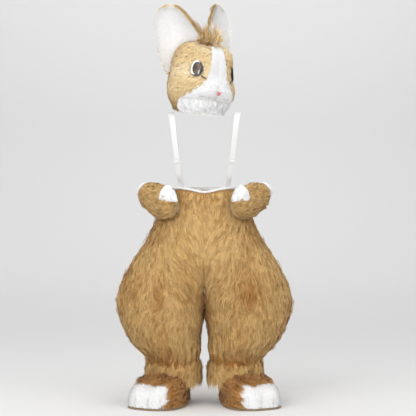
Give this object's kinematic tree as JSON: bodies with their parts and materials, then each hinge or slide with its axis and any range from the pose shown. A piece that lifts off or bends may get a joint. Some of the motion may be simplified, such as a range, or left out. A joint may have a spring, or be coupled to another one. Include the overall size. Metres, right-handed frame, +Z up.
{
  "type": "fursuit",
  "caption": "Rabbit costume, worn pose: furred head with upright ears, trousers gathered at the ankle and held by straps, mitts and foot paws.",
  "frame": {"origin": "midway between the places where the straps cross the shoulders", "axes": "+Z up, the front faces -Y, the wearer's left is +X"},
  "size_m": [0.83, 0.445, 1.907],
  "materials": {
    "tan_fur": "long pile fur",
    "light_tan_fur": "short pile fur",
    "russet_fur": "long pile fur",
    "white_fur": "pile fur",
    "white_webbing": "woven elastic",
    "white_plastic": "moulded",
    "eye_white": "satin",
    "iris_brown": "glitter under gloss",
    "black_felt": "felt",
    "pink_felt": "felt",
    "sole_cloth": "woven"
  },
  "bodies": {
    "root": {"blaze": "white_fur", "cuff_left": "tan_fur", "cuff_right": "tan_fur", "ear_back_left": "tan_fur", "ear_back_right": "tan_fur", "ear_lining_left": "white_fur", "ear_lining_right": "white_fur", "eye_white_left": "eye_white", "eye_white_right": "eye_white", "foot_heel_left": "russet_fur", "foot_heel_right": "russet_fur", "foot_shaft_left": "russet_fur", "foot_shaft_right": "russet_fur", "hood_left": "tan_fur", "hood_right": "tan_fur", "iris_left": "iris_brown", "iris_right": "iris_brown", "mitt_back_left": "tan_fur", "mitt_back_right": "tan_fur", "mitt_binding_left": "white_webbing", "mitt_binding_right": "white_webbing", "mitt_palm_left": "light_tan_fur", "mitt_palm_right": "light_tan_fur", "mitt_tip_left": "white_fur", "mitt_tip_right": "white_fur", "nose": "pink_felt", "ruff": "white_fur", "slider_left": "white_plastic", "slider_right": "white_plastic", "sole_left": "sole_cloth", "sole_right": "sole_cloth", "strap_left": "white_webbing", "strap_right": "white_webbing", "tear_line_left": "black_felt", "tear_line_right": "black_felt", "toe_cap_left": "white_fur", "toe_cap_right": "white_fur", "trouser_back_left": "tan_fur", "trouser_back_right": "tan_fur", "trouser_front_left": "tan_fur", "trouser_front_right": "tan_fur", "waist_binding": "white_webbing"}
  },
  "joints": []
}
